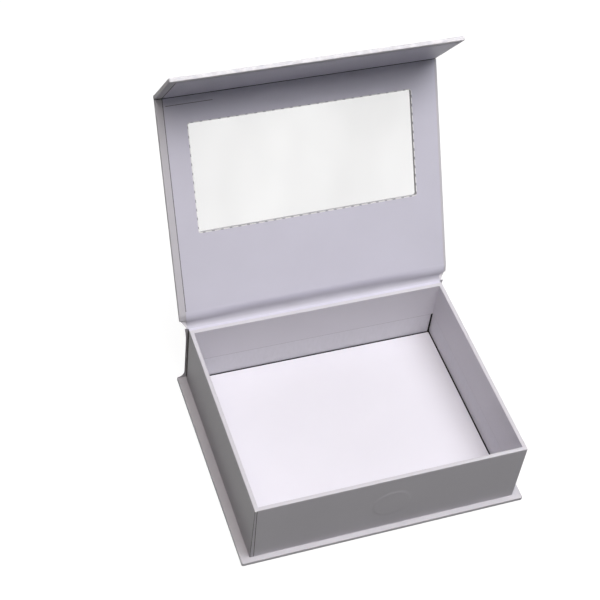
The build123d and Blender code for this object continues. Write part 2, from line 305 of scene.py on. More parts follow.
def cover(node, body, slot, *materials):
    """Ends a piece: its papers, its body, and the CAD node that it stands for."""
    piece = bpy.context.object
    while len(piece.data.materials) < len(materials):
        piece.data.materials.append(None)
    for place, material in enumerate(materials):
        piece.data.materials[place] = material
    if isinstance(body, str):
        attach(piece, body)
    else:
        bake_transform(piece)
    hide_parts(node)
    return piece


# ---------------------------------------------------------------- materials

FLOOR_GLOW = 0.93


class Finish:
    """A material's node tree under construction, on Object coordinates."""

    def __init__(self, name):
        self.material = bpy.data.materials.new(name)
        self.material.use_nodes = True
        self.tree = self.material.node_tree
        self.shader = self.tree.nodes["Principled BSDF"]
        self.place = self.tree.nodes.new("ShaderNodeTexCoord").outputs["Object"]

    def node(self, kind, sockets=(), **settings):
        """A new node with its settings, and values or links for its sockets."""
        node = self.tree.nodes.new("ShaderNode" + kind)
        for name, value in settings.items():
            setattr(node, name, value)
        for socket, value in dict(sockets).items():
            if isinstance(value, bpy.types.NodeSocket):
                self.tree.links.new(value, node.inputs[socket])
            else:
                node.inputs[socket].default_value = value
        return node

    def noise(self, size, detail, stretch=(1, 1, 1)):
        """Noise whose lumps are about this size, stretched along the axes."""
        place = self.node("Mapping", {"Vector": self.place, "Scale": stretch}).outputs[0]
        sockets = {"Vector": place, "Scale": 1 / size, "Detail": detail, "Roughness": 0.5}
        return self.node("TexNoise", sockets).outputs["Fac"]

    def spread(self, value, low, high, at_low=0.3, at_high=0.7):
        """Carries a value from one range to another, held at its ends."""
        sockets = {"Value": value, "From Min": at_low, "From Max": at_high}
        sockets.update({"To Min": low, "To Max": high})
        return self.node("MapRange", sockets, clamp=True).outputs[0]

    def mix(self, factor, first, second):
        """One colour turning to another."""
        node = self.node("Mix", {"Factor": factor}, data_type="RGBA")
        for socket, value in ((node.inputs[6], first), (node.inputs[7], second)):
            if isinstance(value, bpy.types.NodeSocket):
                self.tree.links.new(value, socket)
            else:
                socket.default_value = (*value, 1)
        return node.outputs[2]

    def relief(self, height, depth, under=None):
        """Bumps of a real depth, on top of other bumps."""
        sockets = {"Height": height, "Distance": depth, "Strength": 1.0}
        if under:
            sockets["Normal"] = under
        return self.node("Bump", sockets).outputs[0]

    def link(self, socket, value):
        """Feeds the shader."""
        self.tree.links.new(value, self.shader.inputs[socket])

    def set(self, **values):
        """Sets the shader's own sockets."""
        for name, value in values.items():
            self.shader.inputs[name.replace("_", " ")].default_value = value


def paper(name, colour, dark, waves):
    """Satin-coated paper over board: fine tooth, faint clouding, slow waves."""
    finish = Finish(name)
    clouds = finish.noise(34 * MM, 3)
    fibres = finish.noise(0.45 * MM, 3, stretch=(1, 0.45, 1))
    grain = finish.noise(0.16 * MM, 2)
    base = finish.mix(finish.spread(clouds, 0, 1), colour, dark)
    flecks = finish.mix(finish.spread(fibres, 0, 0.5, 0.35, 0.75), base, dark)
    finish.link("Base Color", flecks)
    finish.link("Roughness", finish.spread(fibres, 0.42, 0.55))
    slow = finish.relief(finish.noise(52 * MM, 1), waves)
    finish.link("Normal", finish.relief(grain, 12e-6, slow))
    finish.set(Specular_IOR_Level=0.4, IOR=1.48, Coat_Weight=0.08, Coat_Roughness=0.3)
    return finish.material


def fold_wear_and_highlight(name, colour, pale):
    """The same paper on a fold, paler in patches: partly where the fold has stretched and rubbed
    it, partly a painted highlight where light catches the rounded edge.
    """
    finish = Finish(name)
    rubs_and_highlight = finish.noise(2.2 * MM, 4, stretch=(0.5, 0.5, 1))
    finish.link("Base Color", finish.mix(finish.spread(rubs_and_highlight, 0, 1, 0.42, 0.62), colour, pale))
    finish.link("Roughness", finish.spread(rubs_and_highlight, 0.45, 0.6))
    finish.link("Normal", finish.relief(finish.noise(0.2 * MM, 2), 15e-6))
    finish.set(Specular_IOR_Level=0.4, IOR=1.48)
    return finish.material


def groove_shaded_liner():
    """Liner paper in the hinge's groove, darkened down in the groove by painted shade, in uneven
    patches.
    """
    finish = Finish("hinge_liner_painted_groove_shade")
    height = finish.node("SeparateXYZ", {0: finish.place}).outputs["Z"]
    patches = finish.noise(9 * MM, 3, stretch=(0.35, 1, 1))
    fibres = finish.noise(0.45 * MM, 3, stretch=(1, 0.45, 1))
    # painted shade: the liner turns darker between these heights, down in the hinge's groove
    lower = finish.spread(height, 0, 1, GROOVE_LOW - 0.2 * MM, GROOVE_LOW + 0.8 * MM)
    upper = finish.spread(height, 1, 0, GROOVE_LOW + 2.6 * MM, GROOVE_LOW + 6.4 * MM)
    groove = finish.node("Math", {0: lower, 1: upper}, operation="MULTIPLY").outputs[0]
    uneven = finish.spread(patches, 0.78, 1.0)
    groove_shade = finish.node("Math", {0: groove, 1: uneven}, operation="MULTIPLY").outputs[0]
    shade = finish.mix(groove_shade, (0.68, 0.67, 0.78), (0.40, 0.39, 0.455))
    finish.link("Base Color", shade)
    finish.link("Roughness", finish.spread(fibres, 0.45, 0.6))
    creases = finish.relief(finish.noise(1.4 * MM, 3, stretch=(0.12, 1, 1)), 0.05 * MM)
    finish.link("Normal", finish.relief(fibres, 12e-6, creases))
    finish.set(Specular_IOR_Level=0.35, IOR=1.48)
    return finish.material


# the default colours are near black: the painted shade of the gap board
def bare_board(name, colour=(0.06, 0.058, 0.055), dark=(0.035, 0.033, 0.032)):
    """Raw greyboard: recycled pulp, matt and slightly flecked."""
    finish = Finish(name)
    pulp = finish.noise(1.1 * MM, 5, stretch=(1, 1, 0.5))
    finish.link("Base Color", finish.mix(finish.spread(pulp, 0, 1), colour, dark))
    finish.link("Roughness", finish.spread(pulp, 0.8, 0.95))
    finish.link("Normal", finish.relief(pulp, 30e-6))
    finish.set(Specular_IOR_Level=0.2)
    return finish.material


def lined_board(name, across):
    """A wall's greyboard: pale lining on its broad faces; its bare edges and its foot are near
    black, painted shade where they show in the gaps.

    A dark line runs along the lining just under the end of the paper turned in over it: adhesive,
    darkened further by painted shadow.
    """
    finish = Finish(name)
    pulp = finish.noise(1.6 * MM, 5, stretch=(1, 1, 0.4))
    lining = finish.mix(finish.spread(pulp, 0, 1), (0.655, 0.645, 0.695), (0.63, 0.62, 0.665))
    turn_in_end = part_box("tray_wrap")[1].z - RIM_TURN_IN - PAPER
    parts = finish.node("SeparateXYZ", {0: finish.place}).outputs
    # painted shadow: the dark line under the turned-in paper's end
    glue_shadow_line = finish.spread(parts["Z"], 0, 1, turn_in_end - 0.5 * MM, turn_in_end - 0.32 * MM)
    lining = finish.mix(glue_shadow_line, lining, (0.40, 0.39, 0.41))
    # painted shade: the bare board goes near black where it shows in the gaps
    raw_in_painted_shade = finish.mix(finish.spread(pulp, 0, 1), (0.05, 0.048, 0.045), (0.03, 0.028, 0.027))
    facing = finish.node("NewGeometry").outputs["True Normal"]
    turned = finish.node("VectorMath", {0: facing, 1: across}, operation="DOT_PRODUCT")
    broad = finish.node("Math", {0: turned.outputs["Value"]}, operation="ABSOLUTE").outputs[0]
    depth = finish.node("Math", {0: parts["Y"]}, operation="ABSOLUTE").outputs[0]
    foot = finish.spread(parts["Z"], 0, 1, CARD_TOP - 0.25 * MM, CARD_TOP)
    inside = finish.spread(depth, 1, 0, WELL_DEPTH / 2 + 0.02 * MM, WELL_DEPTH / 2 + 0.1 * MM)
    open_side = finish.node("Math", {0: foot, 1: inside}, operation="MULTIPLY").outputs[0]
    lined = finish.node("Math", {0: broad, 1: open_side}, operation="MULTIPLY").outputs[0]
    finish.link("Base Color", finish.mix(finish.spread(lined, 0, 1, 0.4, 0.6), raw_in_painted_shade, lining))
    finish.link("Roughness", finish.spread(pulp, 0.75, 0.9))
    finish.link("Normal", finish.relief(pulp, 12e-6))
    finish.set(Specular_IOR_Level=0.25)
    return finish.material


def cut_paper():
    """The white fibre along the window's perforated edge, broken by its nicks, which are painted
    shade in a darker liner tone.
    """
    finish = Finish("cut_paper_edge")
    fibre = finish.noise(0.35 * MM, 4)
    both_ways = LID_ALONG + Vector((1, 0, 0))
    run = finish.node("VectorMath", {0: finish.place, 1: both_ways}, operation="DOT_PRODUCT")
    wander = finish.noise(5 * MM, 1)
    uneven = finish.node("Math", {0: wander, 1: 0.35}, operation="MULTIPLY").outputs[0]
    steps = {0: run.outputs["Value"], 1: 1 / NICK_SPACING, 2: uneven}
    turns = finish.node("Math", steps, operation="MULTIPLY_ADD").outputs[0]
    nick = finish.node("Math", {0: turns, 1: 1.0}, operation="PINGPONG").outputs[0]
    # painted shade in the nicks between the white fibre
    shaded_nick = finish.spread(nick, 0, 1, 0.64, 0.74)
    white = finish.mix(fibre, (0.97, 0.97, 0.97), (0.86, 0.85, 0.87))
    finish.link("Base Color", finish.mix(shaded_nick, white, (0.40, 0.395, 0.44)))
    finish.link("Roughness", finish.spread(fibre, 0.7, 0.9))
    finish.link("Normal", finish.relief(fibre, 30e-6))
    finish.set(Specular_IOR_Level=0.2)
    return finish.material


def kraft_tape():
    """Brown paper tape."""
    finish = Finish("stay_tape")
    fibre = finish.noise(0.7 * MM, 5, stretch=(1, 1, 0.2))
    finish.link("Base Color", finish.mix(fibre, (0.15, 0.11, 0.075), (0.10, 0.07, 0.045)))
    finish.link("Roughness", finish.spread(fibre, 0.7, 0.85))
    finish.link("Normal", finish.relief(fibre, 20e-6))
    return finish.material


def clear_film():
    """Thin clear plastic film with slow ripples; its grey cover thickens and thins in slow
    patches, a painted reflection that is uneven across it.
    """
    finish = Finish("clear_film")
    patchy_reflection = finish.noise(60 * MM, 2, stretch=(1.0, 0.6, 0.6))
    # painted reflection: the grey cover over what lies behind varies in slow patches
    finish.link("Alpha", finish.spread(patchy_reflection, 0.10, 0.17, 0.35, 0.65))
    finish.link("Base Color", finish.mix(patchy_reflection, (0.52, 0.52, 0.53), (0.45, 0.45, 0.46)))
    finish.link("Roughness", finish.spread(patchy_reflection, 0.06, 0.14))
    finish.link("Normal", finish.relief(finish.noise(22 * MM, 1), 0.4 * MM))
    finish.set(Specular_IOR_Level=0.5, IOR=1.5)
    return finish.material


def nickel():
    """Nickel-plated magnet."""
    finish = Finish("nickel_plate")
    grain = finish.noise(0.3 * MM, 3, stretch=(1, 6, 1))
    finish.link("Base Color", finish.mix(grain, (0.62, 0.60, 0.56), (0.52, 0.50, 0.47)))
    finish.link("Roughness", finish.spread(grain, 0.22, 0.36))
    finish.set(Metallic=1.0)
    return finish.material


def floor_paint():
    """The studio's pale floor."""
    finish = Finish("pale_floor")
    marks = finish.noise(120 * MM, 2)
    finish.link("Base Color", finish.mix(marks, (0.16, 0.16, 0.16), (0.14, 0.14, 0.14)))
    finish.set(Roughness=0.9, Specular_IOR_Level=0.1)
    finish.set(Emission_Color=(1, 1, 1, 1), Emission_Strength=FLOOR_GLOW)
    return finish.material


WRAP = paper("wrap_paper", (0.635, 0.62, 0.67), (0.61, 0.595, 0.645), waves=0.5 * MM)
# fold paper: wear, and painted highlight along the folds
WRAP_FOLD = fold_wear_and_highlight("wrap_paper_fold", (0.64, 0.63, 0.68), (0.78, 0.77, 0.81))
LINER = paper("liner_paper", (0.68, 0.67, 0.78), (0.65, 0.64, 0.745), waves=0.9 * MM)
CARD = paper("floor_card_paper", (0.765, 0.75, 0.815), (0.745, 0.73, 0.795), waves=0.4 * MM)
CARD_FOLD = fold_wear_and_highlight("floor_card_fold", (0.71, 0.70, 0.765), (0.80, 0.79, 0.84))
BARE_BOARD = bare_board("greyboard", (0.19, 0.18, 0.17), (0.13, 0.125, 0.12))
# painted shade: a near-black copy of the greyboard for the floor board, seen only in the deep gap
# round the floor card
SHADED_GAP_BOARD = bare_board("greyboard_painted_gap_shade")
SIDE_WALL_BOARD = lined_board("lined_side_board", (1, 0, 0))
END_WALL_BOARD = lined_board("lined_end_board", (0, 1, 0))
# painted shade: the wrap's back is near black where it shows in gaps
PAPER_BACK_SHADED = bare_board("wrap_paper_back_painted_shade", (0.07, 0.067, 0.067), (0.05, 0.047, 0.047))
# hinge liner with painted shade in its groove
GROOVE_SHADED_LINER = groove_shaded_liner()
# dark glue lines, darkened further as painted shadow: along the tray's foot, beside the lap and
# in its corner
GLUE_AND_SHADOW_LINE = bare_board("glue_line_and_painted_shadow", (0.20, 0.18, 0.18), (0.13, 0.12, 0.12))
# painted shade: a near-black copy of the liner for the crease between lid and flap
LINER_CREASE_SHADE = bare_board("liner_crease_painted_shade", (0.16, 0.155, 0.19), (0.11, 0.105, 0.135))
# painted shadow: a dark liner tone for the line down the liner's left edge and along its wrinkle
LINER_EDGE_SHADE = bare_board("liner_edge_painted_shadow", (0.27, 0.26, 0.30), (0.19, 0.185, 0.21))
# painted highlight: a pale copy of the wrap on the rim's front left corner, where a small raised
# nub of folded paper catches the light
CORNER_HIGHLIGHT = fold_wear_and_highlight("corner_painted_highlight", (0.82, 0.81, 0.84), (0.93, 0.925, 0.94))
CUT_PAPER = cut_paper()

# ---------------------------------------------------------------- base


def make_base_wrap():
    """Paper over the base's underside and edges, turned in over its top."""
    low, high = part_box("base_wrap")
    block("base_paper", low, high)
    pick_upright_edges()
    round_edges(CORNER, 5)
    pick_edges(lambda place, way: abs(way.z) < 0.1)
    round_edges(FOLD, 3, material=FOLDED)
    for side in (-1, 1):
        pick_top()
        split((side * (high.x - TURN_IN), 0, 0), (1, 0, 0))
        pick_top()
        split((0, side * (high.y - TURN_IN), 0), (0, 1, 0))
    pick_faces(
        lambda place, facing: facing.z > 0.99
        and abs(place.x) < high.x - TURN_IN
        and abs(place.y) < high.y - TURN_IN
    )
    bpy.ops.mesh.delete(type="FACE")
    thicken()
    smooth()
    cover("base_wrap", "tray", "wrap_paper", WRAP, WRAP_FOLD)


# ---------------------------------------------------------------- tray


def raise_disc(centre, along, outward):
    """Lifts the paper over a round magnet, in a flat face turned outward."""
    across = Vector((1, 0, 0))

    def in_face(place, facing, reach):
        offset = place - centre
        return (
            facing.dot(outward) > 0.99
            and abs(offset.dot(outward)) < CLOSE / 2
            and abs(offset.dot(across)) < reach
            and abs(offset.dot(along)) < reach
        )

    for direction in (across, along):
        for side in (-1, 1):
            pick_faces(lambda place, facing: in_face(place, facing, LID_WIDTH))
            split(centre + direction * side * DISC_FIELD, direction)
    pick_faces(lambda place, facing: in_face(place, facing, DISC_FIELD))
    bpy.ops.mesh.subdivide(number_cuts=DISC_CUTS)
    for radius in (MAGNET_RADIUS + MAGNET_SLOPE, MAGNET_RADIUS - MAGNET_SLOPE):
        pick_points(
            lambda place: abs((place - centre).dot(outward)) < MAGNET_RISE
            and (place - centre).length < radius
        )
        bpy.ops.transform.translate(value=outward * MAGNET_RISE / 2)
    pick_points(
        lambda place: abs((place - centre).dot(outward)) < 2 * MAGNET_RISE
        and abs((place - centre).length - MAGNET_RADIUS) < 1.5 * MM
    )
    bpy.ops.mesh.vertices_smooth(factor=0.5, repeat=1)


def make_tray_wrap():
    """One sheet over the tray's walls and rim, down the inside and under the floor."""
    low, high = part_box("tray_wrap")
    block("tray_paper", low, high)
    pick_faces(lambda place, facing: facing.z > 0.5)
    bpy.ops.mesh.inset(thickness=WALL)
    bpy.ops.mesh.extrude_region_move(
        TRANSFORM_OT_translate={"value": (0, 0, -RIM_TURN_IN - PAPER)}
    )
    bpy.ops.mesh.delete(type="FACE")
    pick_faces(lambda place, facing: facing.z < -0.5)
    bpy.ops.mesh.inset(thickness=UNDER_TURN_IN)
    bpy.ops.mesh.delete(type="FACE")

    def on_rim(place, way):
        return place.z > high.z - CLOSE and max(abs(way.x), abs(way.y)) > 0.99

    def on_corner(place, way):
        return abs(way.z) > 0.9 and abs(place.x) > high.x - CLOSE

    def on_foot(place, way):
        outermost = max(abs(place.x) - high.x, abs(place.y) - high.y)
        return place.z < low.z + CLOSE and outermost > -MM

    pick_edges(lambda place, way: on_rim(place, way) or on_corner(place, way))
    round_edges(FOLD, 3, material=FOLDED)
    # painted contact shadow: the tray's foot is rounded in the dark glue-line paper
    pick_edges(on_foot)
    round_edges(FOLD, 3, material=GLUE_SHADOW)
    mark_mitres(high.z)
    lap_corner(low)
    corner = Vector((low.x, low.y, high.z))
    # painted highlight on the rim's front left corner
    paint(CORNER_LIT, lambda place, facing: (place - corner).length < HIGHLIGHT_REACH)
    magnet = sum(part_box("wall_magnet"), Vector()) / 2
    centre = Vector((magnet.x, low.y, magnet.z))
    raise_disc(centre, Vector((0, 0, 1)), Vector((0, -1, 0)))
    thicken(back=BACK)
    smooth()
    cover(
        "tray_wrap", "tray", "wrap_paper", WRAP, WRAP_FOLD, PAPER_BACK_SHADED, GLUE_AND_SHADOW_LINE, CORNER_HIGHLIGHT
    )


def mark_mitres(rim):
    """Presses a fine line where the paper is mitred at each corner of the rim."""

    def on_mitre(place, way):
        return place.z > rim - NEAR and 0.5 < abs(way.x) < 0.9 and abs(way.z) < 0.1

    def in_middle(place):
        return abs(abs(place.x) - abs(place.y) - (TRAY_SIDE - TRAY_FRONT)) < 2 * NEAR

    pick_edges(on_mitre)
    round_edges(MITRE_WIDTH, 2)
    pick_edges(lambda place, way: on_mitre(place, way) and in_middle(place))
    bpy.ops.transform.translate(value=(0, 0, -MITRE_DEPTH))


def lap_corner(low):
    """Raises the end of the sheet, lapped round the front left corner."""
    lap_end = low.x + LAP_WIDTH
    shadow_end = lap_end + LAP_SHADOW

    def in_front(place, facing):
        return facing.y < -0.99 and place.y < low.y + CLOSE

    def round_corner(place, facing):
        outside = place.x < low.x + FOLD and place.y < low.y + FOLD
        return facing.x < -0.6 and facing.y < -0.6 and outside

    pick_faces(in_front)
    split((lap_end, 0, LAP_MIDDLE), (1, 0, LAP_SLANT))
    pick_faces(lambda place, facing: in_front(place, facing) and place.x > shadow_end)
    split((shadow_end, 0, LAP_MIDDLE), (1, 0, LAP_SLANT))
    # painted shadow beside the lap and down the rounded corner
    paint(GLUE_SHADOW, lambda place, facing: in_front(place, facing) and lap_end < place.x < shadow_end)
    paint(GLUE_SHADOW, round_corner)
    pick_faces(lambda place, facing: in_front(place, facing) and place.x < lap_end)
    bpy.ops.mesh.extrude_region_move(TRANSFORM_OT_translate={"value": (0, -PAPER, 0)})


def make_floor_card():
    """Loose paper-covered card on the tray's floor."""
    low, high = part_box("floor_card")
    block("loose_floor_card", low, high)
    pick_upright_edges()
    round_edges(CARD_CORNER, 4)
    pick_edges(lambda place, way: abs(way.z) < 0.1 and place.z > high.z - NEAR)
    round_edges(CARD_EDGE, 3, material=FOLDED)
    smooth()
    cover("floor_card", "tray", "floor_card", CARD, CARD_FOLD)


# ---------------------------------------------------------------- spine


def make_spine_wrap():
    """Paper down the back of the spine, flaring to the wider lid and base."""
    low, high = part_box("spine_wrap")
    back = high.y
    path = []
    for step in range(FLARE_STEPS + 1):
        turn = radians(90) * step / FLARE_STEPS
        wide = TRAY_SIDE + BASE_FLARE * (1 - sin(turn))
        path.append((wide, back, low.z + BASE_FLARE * (1 - cos(turn))))
    for step in range(FLARE_STEPS + 1):
        share = step / FLARE_STEPS
        wide = TRAY_SIDE + LID_FLARE * share**2
        path.append((wide, back, LID_FLARE_START + (high.z - LID_FLARE_START) * share))
    strip("spine_paper", path)
    bpy.ops.mesh.select_all(action="SELECT")
    bpy.ops.mesh.normals_make_consistent(inside=False)
    face_outward(Vector((0, 1, 0)))
    thicken()
    smooth()
    cover("spine_wrap", "tray", "wrap_paper", WRAP)


def face_outward(direction):
    """Turns an open sheet's faces so that they look along a direction."""
    shape = bmesh.from_edit_mesh(bpy.context.object.data)
    facing = sum((face.normal * face.calc_area() for face in shape.faces), Vector())
    if facing.dot(direction) < 0:
        bpy.ops.mesh.select_all(action="SELECT")
        bpy.ops.mesh.flip_normals()


def make_spine_liner():
    """The liner's tail between tray and spine, folded over the spine's top."""
    low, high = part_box("spine_liner")
    half = high.x
    path = [
        (half, low.y, low.z),
        (half, low.y, high.z - 0.4 * MM),
        (half, low.y + 0.06 * MM, high.z - 0.15 * MM),
        (half, low.y + 0.25 * MM, high.z - 0.03 * MM),
        (half, low.y + 0.5 * MM, high.z),
        (half, high.y, high.z),
    ]
    strip("spine_lining", path)
    face_outward(Vector((0, -1, 1)))
    thicken()
    smooth()
    cover("spine_liner", "tray", "liner_paper", LINER)


# ---------------------------------------------------------------- lid


def cut_window(level, depth, border=0.0):
    """Cuts the window through the piece just made, with rounded corners."""
    bpy.ops.object.mode_set(mode="OBJECT")
    piece = bpy.context.object
    half = WINDOW_WIDTH / 2 + border
    block(
        "window_cutter",
        (-half, WINDOW_START - border, level - depth),
        (half, WINDOW_END + border, level + depth),
    )
    pick_upright_edges()
    round_edges(WINDOW_CORNER + border, 6)
    bpy.ops.object.mode_set(mode="OBJECT")
    cutter = bpy.context.object
    bpy.ops.object.select_all(action="DESELECT")
    bpy.context.view_layer.objects.active = piece
    piece.select_set(True)
    use("BOOLEAN", object=cutter, operation="DIFFERENCE", solver="EXACT")
    bpy.data.objects.remove(cutter)
    bpy.ops.object.mode_set(mode="EDIT")


def make_lid_wrap():
    """Paper over the lid's outer face and side edges, turned in, and lining the window."""
    side = LID_WIDTH / 2
    block("lid_paper", (-side, LID_START, -PANEL), (side, LID_END, -PAPER))
    cut_window(-PANEL / 2, PANEL)
    pick_edges(lambda place, way: abs(place.x) > side - NEAR and abs(way.y) > 0.9)
    round_edges(FOLD, 3, material=FOLDED)

    def at_window(place, way):
        across, along = abs(place.x) - WINDOW_WIDTH / 2, abs(place.y - WINDOW_MIDDLE)
        past = along - (WINDOW_END - WINDOW_START) / 2
        beside = across < NEAR and past < NEAR and not (across < -2 * MM and past < -MM)
        return beside and abs(way.z) < 0.1 and place.z < -PANEL + NEAR

    pick_edges(at_window)
    round_edges(WINDOW_FOLD, 3, material=FOLDED)
    for edge in (-1, 1):
        pick_top()
        split((edge * (side - TURN_IN), 0, 0), (1, 0, 0))
    pick_faces(
        lambda place, facing: abs(facing.y) > 0.99
        and not WINDOW_START - MM < place.y < WINDOW_END + MM
    )
    bpy.ops.mesh.delete(type="FACE")
    for distance in (EASED_END, (EASED_END + LID_START) / 2):
        bpy.ops.mesh.select_all(action="SELECT")
        split((0, distance, 0), (0, 1, 0))
    drop = EASED_DROP / 2
    for distance in (EASED_END, LID_START + MM):
        pick_points(
            lambda place: place.y < distance - NEAR and place.z > -PAPER - FOLD - drop - NEAR
        )
        bpy.ops.transform.translate(value=(0, 0, -drop))
    pick_faces(lambda place, facing: facing.z > 0.9 and abs(place.x) < side - TURN_IN)
    bpy.ops.mesh.delete(type="FACE")
    thicken()
    set_up(LID_EDGE, LID_TILT)
    smooth()
    cover("lid_wrap", "lid", "wrap_paper", WRAP, WRAP_FOLD)


def make_window_film():
    """Clear film behind the window, under the liner."""
    half = WINDOW_WIDTH / 2 + FILM_LAP
    block(
        "window_pane",
        (-half, WINDOW_START - FILM_LAP, -2 * PAPER),
        (half, WINDOW_END + FILM_LAP, -PAPER),
    )
    pick_upright_edges()
    round_edges(FILM_CORNER, 3)
    set_up(LID_EDGE, LID_TILT)
    smooth()
    cover("window_film", "lid", "clear_film", clear_film())


def make_lid_liner():
    """Liner paper on the lid's inner face, with a perforated edge round the window."""
    papers = (LINER, CUT_PAPER, LINER_EDGE_SHADE)
    half = WINDOW_WIDTH / 2 + CUT_EDGE
    block(
        "window_cut_edge",
        (-half, WINDOW_START - CUT_EDGE, -PAPER),
        (half, WINDOW_END + CUT_EDGE, CUT_RISE),
    )
    pick_upright_edges()
    round_edges(WINDOW_CORNER + CUT_EDGE, 6)
    cut_window(0, MM)
    bpy.ops.object.mode_set(mode="OBJECT")
    cut_edge = bpy.context.object
    for material in papers:
        cut_edge.data.materials.append(material)
    cut_edge.data.polygons.foreach_set("material_index", [CUT] * len(cut_edge.data.polygons))

    side = LID_WIDTH / 2 - LINER_INSET
    block("lid_lining", (-side, ROLL_START, -PAPER), (side + LINER_SHIFT, LID_END, 0))
    bpy.ops.object.mode_set(mode="OBJECT")
    for material in papers:
        bpy.context.object.data.materials.append(material)
    cut_window(0, MM, border=CUT_EDGE / 2)
    mark_left_edge(side)
    press_wrinkle(side)
    bpy.ops.object.mode_set(mode="OBJECT")
    cut_edge.select_set(True)
    bpy.ops.object.join()
    set_up(LID_EDGE, LID_TILT)
    smooth()
    cover("lid_liner", "lid", "liner_paper", *papers)


def press_wrinkle(side):
    """Presses a fine short wrinkle into the liner, near its left end and the crease, and paints
    shade along it.
    """
    for distance in (-WRINKLE_WIDTH, 0, WRINKLE_WIDTH):
        pick_faces(lambda place, facing: facing.z > 0.5)
        split((0, WRINKLE + distance, 0), (0, 1, 0))
    first, deepest, last = (distance - side for distance in WRINKLE_ENDS)
    for end in (first, deepest, last):
        pick_faces(
            lambda place, facing: facing.z > 0.5 and abs(place.y - WRINKLE) < WRINKLE_WIDTH
        )
        split((end, 0, 0), (1, 0, 0))
    pick_points(
        lambda place: abs(place.y - WRINKLE) < 2 * NEAR
        and first - NEAR < place.x < deepest + NEAR
        and place.z > -NEAR
    )
    bpy.ops.transform.translate(value=(0, 0, -WRINKLE_DEPTH))
    # painted shade along the wrinkle
    paint(
        EDGE,
        lambda place, facing: facing.z > 0.5
        and WRINKLE < place.y < WRINKLE + WRINKLE_WIDTH
        and first < place.x < last,
    )


def mark_left_edge(side):
    """Paints a strip of shadow down the liner's left edge."""
    pick_faces(lambda place, facing: facing.z > 0.5)
    split((EDGE_WIDTH - side, 0, 0), (1, 0, 0))
    paint(EDGE, lambda place, facing: place.x < EDGE_WIDTH - side)


# ---------------------------------------------------------------- flap


def make_flap_wrap():
    """Paper over the flap, turned in on its two ends and its free edge."""
    side = LID_WIDTH / 2
    block("flap_paper", (-side, FLAP_START, -PANEL), (side, FLAP_END, -PAPER))
    pick_edges(lambda place, way: abs(way.z) > 0.9 and place.y > FLAP_START + MM)
    round_edges(CORNER, 5)
    pick_edges(lambda place, way: abs(way.z) < 0.1 and place.y > FLAP_START + NEAR)
    round_edges(FOLD, 3, material=FOLDED)
    for edge in (-1, 1):
        pick_top()
        split((edge * (side - TURN_IN), 0, 0), (1, 0, 0))
    pick_top()
    split((0, FLAP_END - TURN_IN, 0), (0, 1, 0))
    pick_faces(
        lambda place, facing: facing.y < -0.99
        or (facing.z > 0.99 and abs(place.x) < side - TURN_IN and place.y < FLAP_END - TURN_IN)
    )
    bpy.ops.mesh.delete(type="FACE")
    # painted highlight: the flap's free edge takes the pale fold paper, as if lit strongly
    paint(FOLDED, lambda place, facing: facing.y > 0.5)
    thicken()
    set_up(CREASE, FLAP_TILT)
    smooth()
    cover("flap_wrap", "flap", "wrap_paper", WRAP, WRAP_FOLD)


def make_flap_liner():
    """Liner paper on the flap's inner face, lifted over the magnet, with painted shadow down its
    left edge.
    """
    side = LID_WIDTH / 2 - LINER_INSET
    free = FLAP_END - LINER_INSET
    block("flap_lining", (-side, FLAP_START, -PAPER), (side + LINER_SHIFT, free, 0))
    pick_faces(lambda place, facing: facing.z > 0.5)
    centre = Vector((MAGNET_X, FLAP_MAGNET, 0))
    raise_disc(centre, Vector((0, 1, 0)), Vector((0, 0, 1)))
    mark_left_edge(side)
    set_up(CREASE, FLAP_TILT)
    smooth()
    cover("flap_liner", "flap", "liner_paper", LINER, LINER, LINER_EDGE_SHADE)


# ---------------------------------------------------------------- paper hinges


def even_out(cuts):
    """Divides a strip across its width."""
    pick_edges(lambda place, way: abs(way.x) > 0.9)
    bpy.ops.mesh.subdivide(number_cuts=cuts)


def reach_right():
    """Carries a liner strip's right end out to the liner's right edge."""
    side = LID_WIDTH / 2 - LINER_INSET
    pick_points(lambda place: place.x > side - NEAR)
    bpy.ops.transform.translate(value=(LINER_SHIFT, 0, 0))


def pull_row(row, offset):
    """Moves both ends of one row of a strip, and less of it towards its middle."""
    pick_points(lambda place: (Vector((0, place.y, place.z)) - row).length < 1e-6)
    bpy.ops.mesh.hide(unselected=True)
    shape = bmesh.from_edit_mesh(bpy.context.object.data)
    reach = max(point.co.x for point in shape.verts if not point.hide) - NEAR
    pick_points(lambda place: abs(place.x) > reach)
    bpy.ops.transform.translate(
        value=offset,
        use_proportional_edit=True,
        proportional_edit_falloff="SMOOTH",
        proportional_size=ARCH_REACH,
    )
    bpy.ops.mesh.reveal(select=False)


